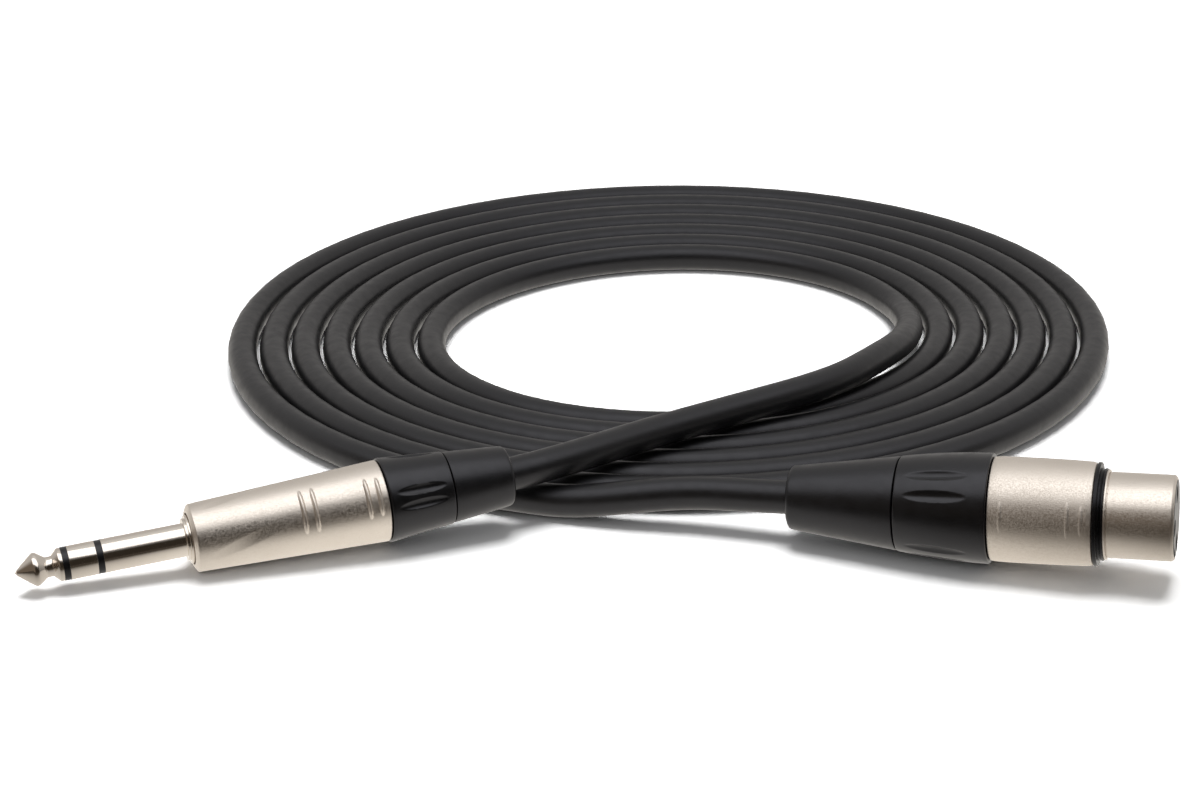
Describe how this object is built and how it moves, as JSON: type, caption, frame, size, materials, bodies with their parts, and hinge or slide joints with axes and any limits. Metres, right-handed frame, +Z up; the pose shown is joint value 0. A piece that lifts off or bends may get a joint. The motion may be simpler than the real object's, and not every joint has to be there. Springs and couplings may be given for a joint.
{
  "type": "balanced audio cable, XLR socket to stereo jack plug",
  "caption": "Hand-coiled balanced audio cable with a female XLR connector on one end and a 6.35 mm stereo jack plug on the other.",
  "frame": {"origin": "on the surface the object lies on, under the middle of the two connectors' own box", "axes": "+X from the jack plug's side to the XLR connector's side, +Y from the connectors towards the back of the coil, +Z up"},
  "size_m": [0.2279, 0.2624, 0.0216],
  "materials": {
    "cable_jacket": "matte, soft sheen",
    "black_rubber": "matte",
    "black_plastic": "satin",
    "white_plastic": "satin",
    "red_insulation": "satin",
    "satin_nickel": "satin, fine grain",
    "polished_nickel": "polished",
    "contact_metal": "silver plated",
    "spring_steel": "satin",
    "copper_shield": "bare strands"
  },
  "bodies": {
    "root": {"xlr_boot": "black_rubber", "xlr_bushing": "black_plastic", "xlr_housing": "satin_nickel", "xlr_ring": "black_plastic", "xlr_nose": "satin_nickel", "xlr_insert": "black_plastic", "xlr_contact_1": "contact_metal", "xlr_contact_2": "contact_metal", "xlr_contact_3": "contact_metal", "xlr_ground_spring": "contact_metal", "xlr_latch_pin": "spring_steel", "xlr_latch_spring": "spring_steel", "xlr_chuck": "white_plastic", "xlr_cable_end": "cable_jacket", "xlr_wire_hot": "red_insulation", "xlr_wire_cold": "white_plastic", "xlr_wire_shield": "copper_shield", "jack_tip": "polished_nickel", "jack_tip_insulator": "black_plastic", "jack_ring": "polished_nickel", "jack_ring_insulator": "black_plastic", "jack_sleeve": "polished_nickel", "jack_tip_lug": "contact_metal", "jack_ring_lug": "contact_metal", "jack_sleeve_lug": "contact_metal", "jack_liner": "white_plastic", "jack_shell": "satin_nickel", "jack_chuck": "white_plastic", "jack_bushing": "black_plastic", "jack_boot": "black_rubber", "jack_cable_end": "cable_jacket", "jack_wire_hot": "red_insulation", "jack_wire_cold": "white_plastic", "jack_wire_shield": "copper_shield", "cable_coil": "cable_jacket", "cable_lead_jack": "cable_jacket", "cable_lead_xlr": "cable_jacket"},
    "latch": {"xlr_latch_lever": "spring_steel"}
  },
  "joints": [
    {"name": "latch_press", "type": "hinge", "parent": "root", "child": "latch", "pos_m": [0.08692, -0.00109, 0.01143], "axis": [0.0617, -0.0189, -0.9979], "range_deg": [0, 5], "stiffness_Nm_per_rad": 0.2, "springref_deg": -5.73}
  ]
}
